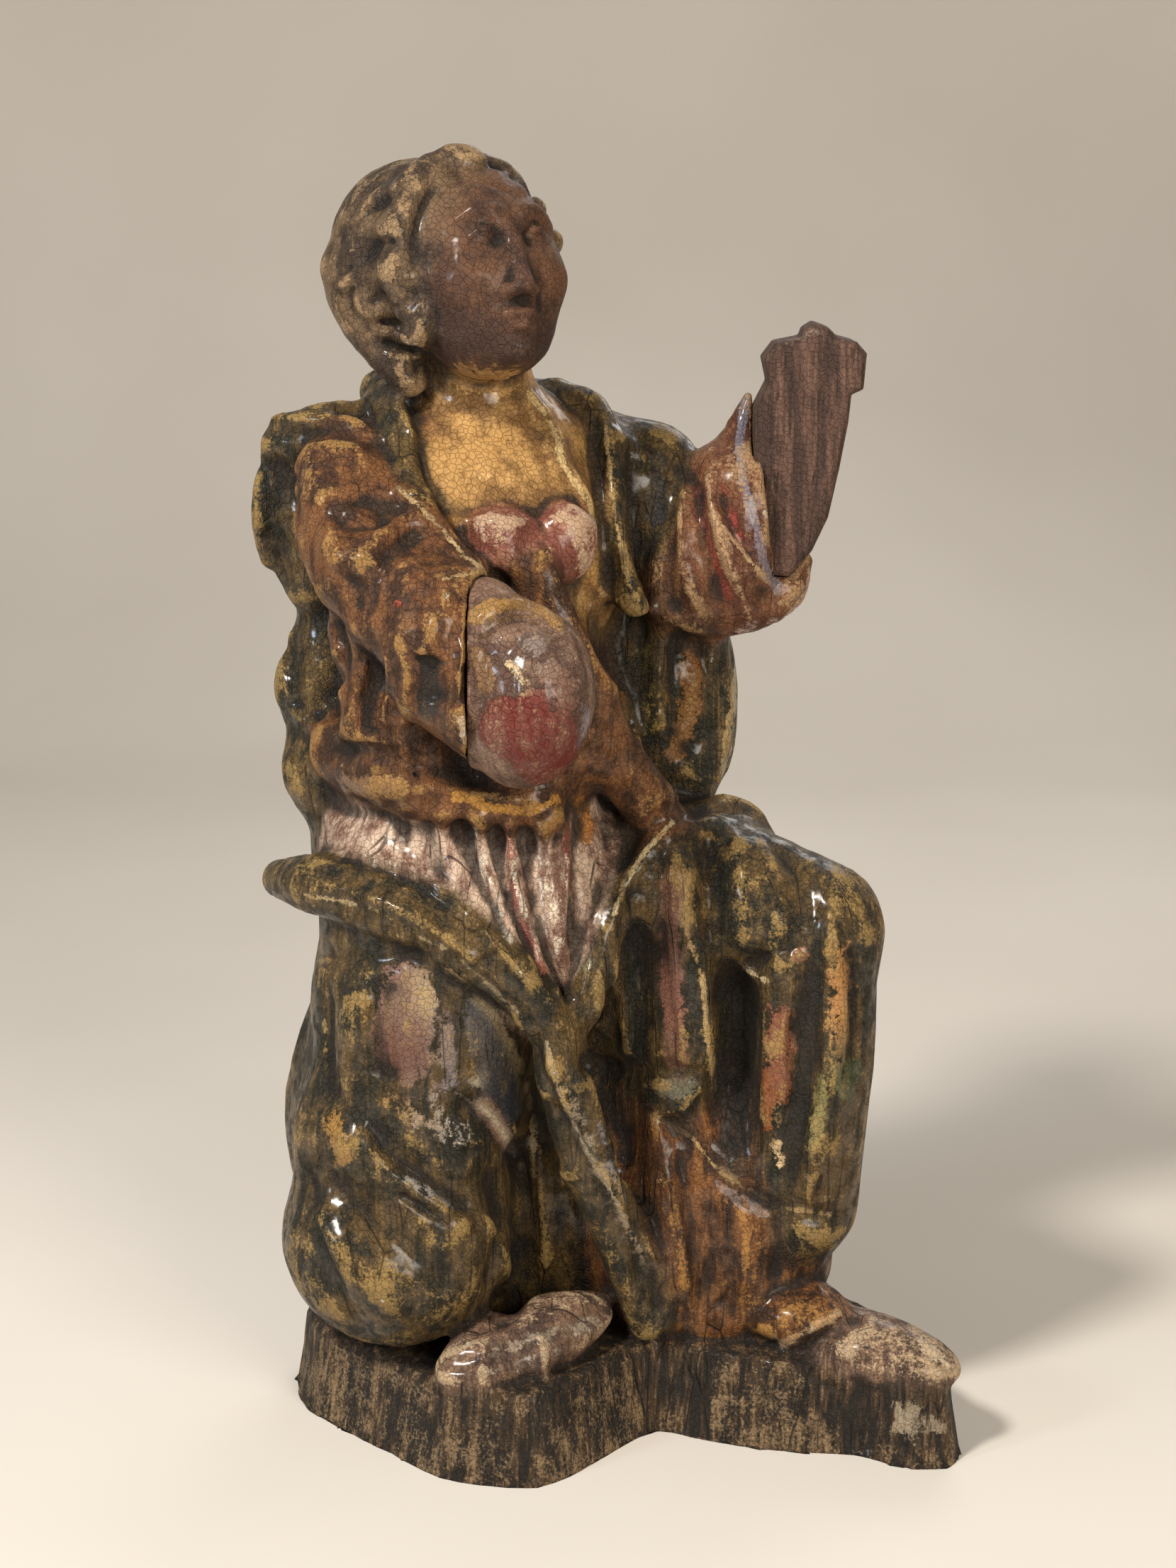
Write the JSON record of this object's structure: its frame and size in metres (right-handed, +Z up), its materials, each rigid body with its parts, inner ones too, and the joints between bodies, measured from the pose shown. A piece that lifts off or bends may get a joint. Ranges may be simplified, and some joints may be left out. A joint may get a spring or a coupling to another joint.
{
  "type": "kneeling saint statue",
  "caption": "Carved and painted wooden saint kneeling on a low plinth of the same log, with draped mantle, raised broken forearm and a domed sleeve end; stands by its own weight.",
  "frame": {"origin": "on the flat underside of the plinth, below the middle of the figure", "axes": "+Z up; +Y away from the viewer of the picture; +X to that viewer's right, towards the raised forearm and the forward foot"},
  "size_m": [0.5216, 0.3576, 0.9475],
  "materials": {
    "figure_wood": "worn polychrome under old varnish",
    "cuff_wood": "worn red and grey paint over white ground",
    "stump_wood": "bare dark wood, matt"
  },
  "bodies": {
    "root": {"figure": "figure_wood", "right_cuff_block": "cuff_wood", "raised_forearm_stump": "stump_wood"}
  },
  "joints": []
}
